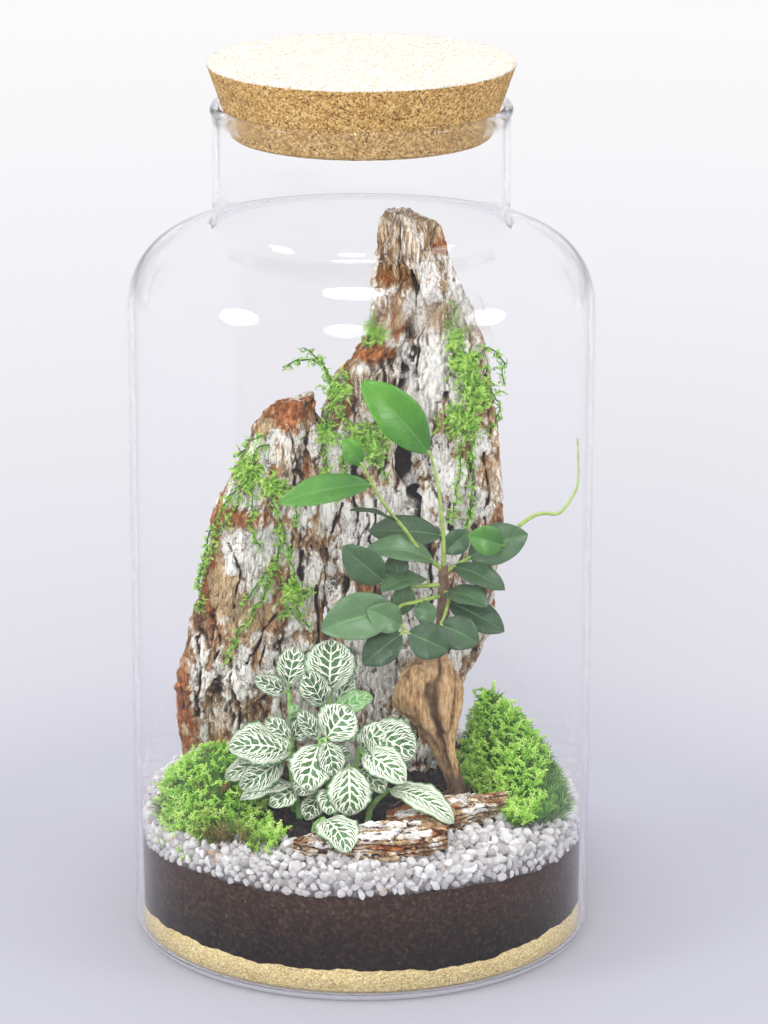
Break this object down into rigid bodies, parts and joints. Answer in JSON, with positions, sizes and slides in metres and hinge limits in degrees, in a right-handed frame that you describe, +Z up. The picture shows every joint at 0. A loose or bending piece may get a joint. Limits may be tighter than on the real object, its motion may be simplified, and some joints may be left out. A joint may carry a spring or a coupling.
{
  "type": "plant terrarium",
  "caption": "Closed glass jar terrarium with a cork stopper, planted with a small fig, a white-veined fittonia and moss round upright bark, over sand, soil and pale gravel.",
  "frame": {"origin": "middle of the jar's underside, on the surface it stands on", "axes": "+Z up along the jar's axis; -Y is the planted front, +X is the viewer's right"},
  "size_m": [0.187, 0.187, 0.361],
  "materials": {
    "glass": "clear polished",
    "cork": "matt cork",
    "sand": "dry sand",
    "soil": "moist dark soil",
    "gravel": "rough chips",
    "bark": "rough weathered",
    "trunk": "smooth bark",
    "fig_leaf": "satin leaf",
    "fittonia_leaf": "satin leaf with white veins",
    "moss": "matt moss"
  },
  "bodies": {
    "root": {"jar": "glass", "cork_stopper": "cork", "sand_layer": "sand", "soil_layer": "soil", "gravel_layer": "gravel", "bark_tall": "bark", "bark_left": "bark", "bark_front_left": "bark", "bark_front_right": "bark", "fig_trunk": "trunk", "fig_shoot_top": "fig_leaf", "fig_shoot_left": "fig_leaf", "fig_shoot_right": "fig_leaf", "fig_leaves_middle": "fig_leaf", "fig_leaves_low": "fig_leaf", "fig_leaves_right": "fig_leaf", "fittonia_stem_back_left": "fittonia_leaf", "fittonia_stem_back": "fittonia_leaf", "fittonia_stem_left": "fittonia_leaf", "fittonia_stem_middle": "fittonia_leaf", "fittonia_stem_right": "fittonia_leaf", "fittonia_stem_front": "fittonia_leaf", "fittonia_stem_low": "fittonia_leaf", "fittonia_stem_low_right": "fittonia_leaf", "moss_left": "moss", "moss_right": "moss", "moss_spray_left_edge": "moss", "moss_spray_left_face": "moss", "moss_spray_middle": "moss", "moss_spray_right": "moss", "moss_spray_top": "moss"}
  },
  "joints": []
}
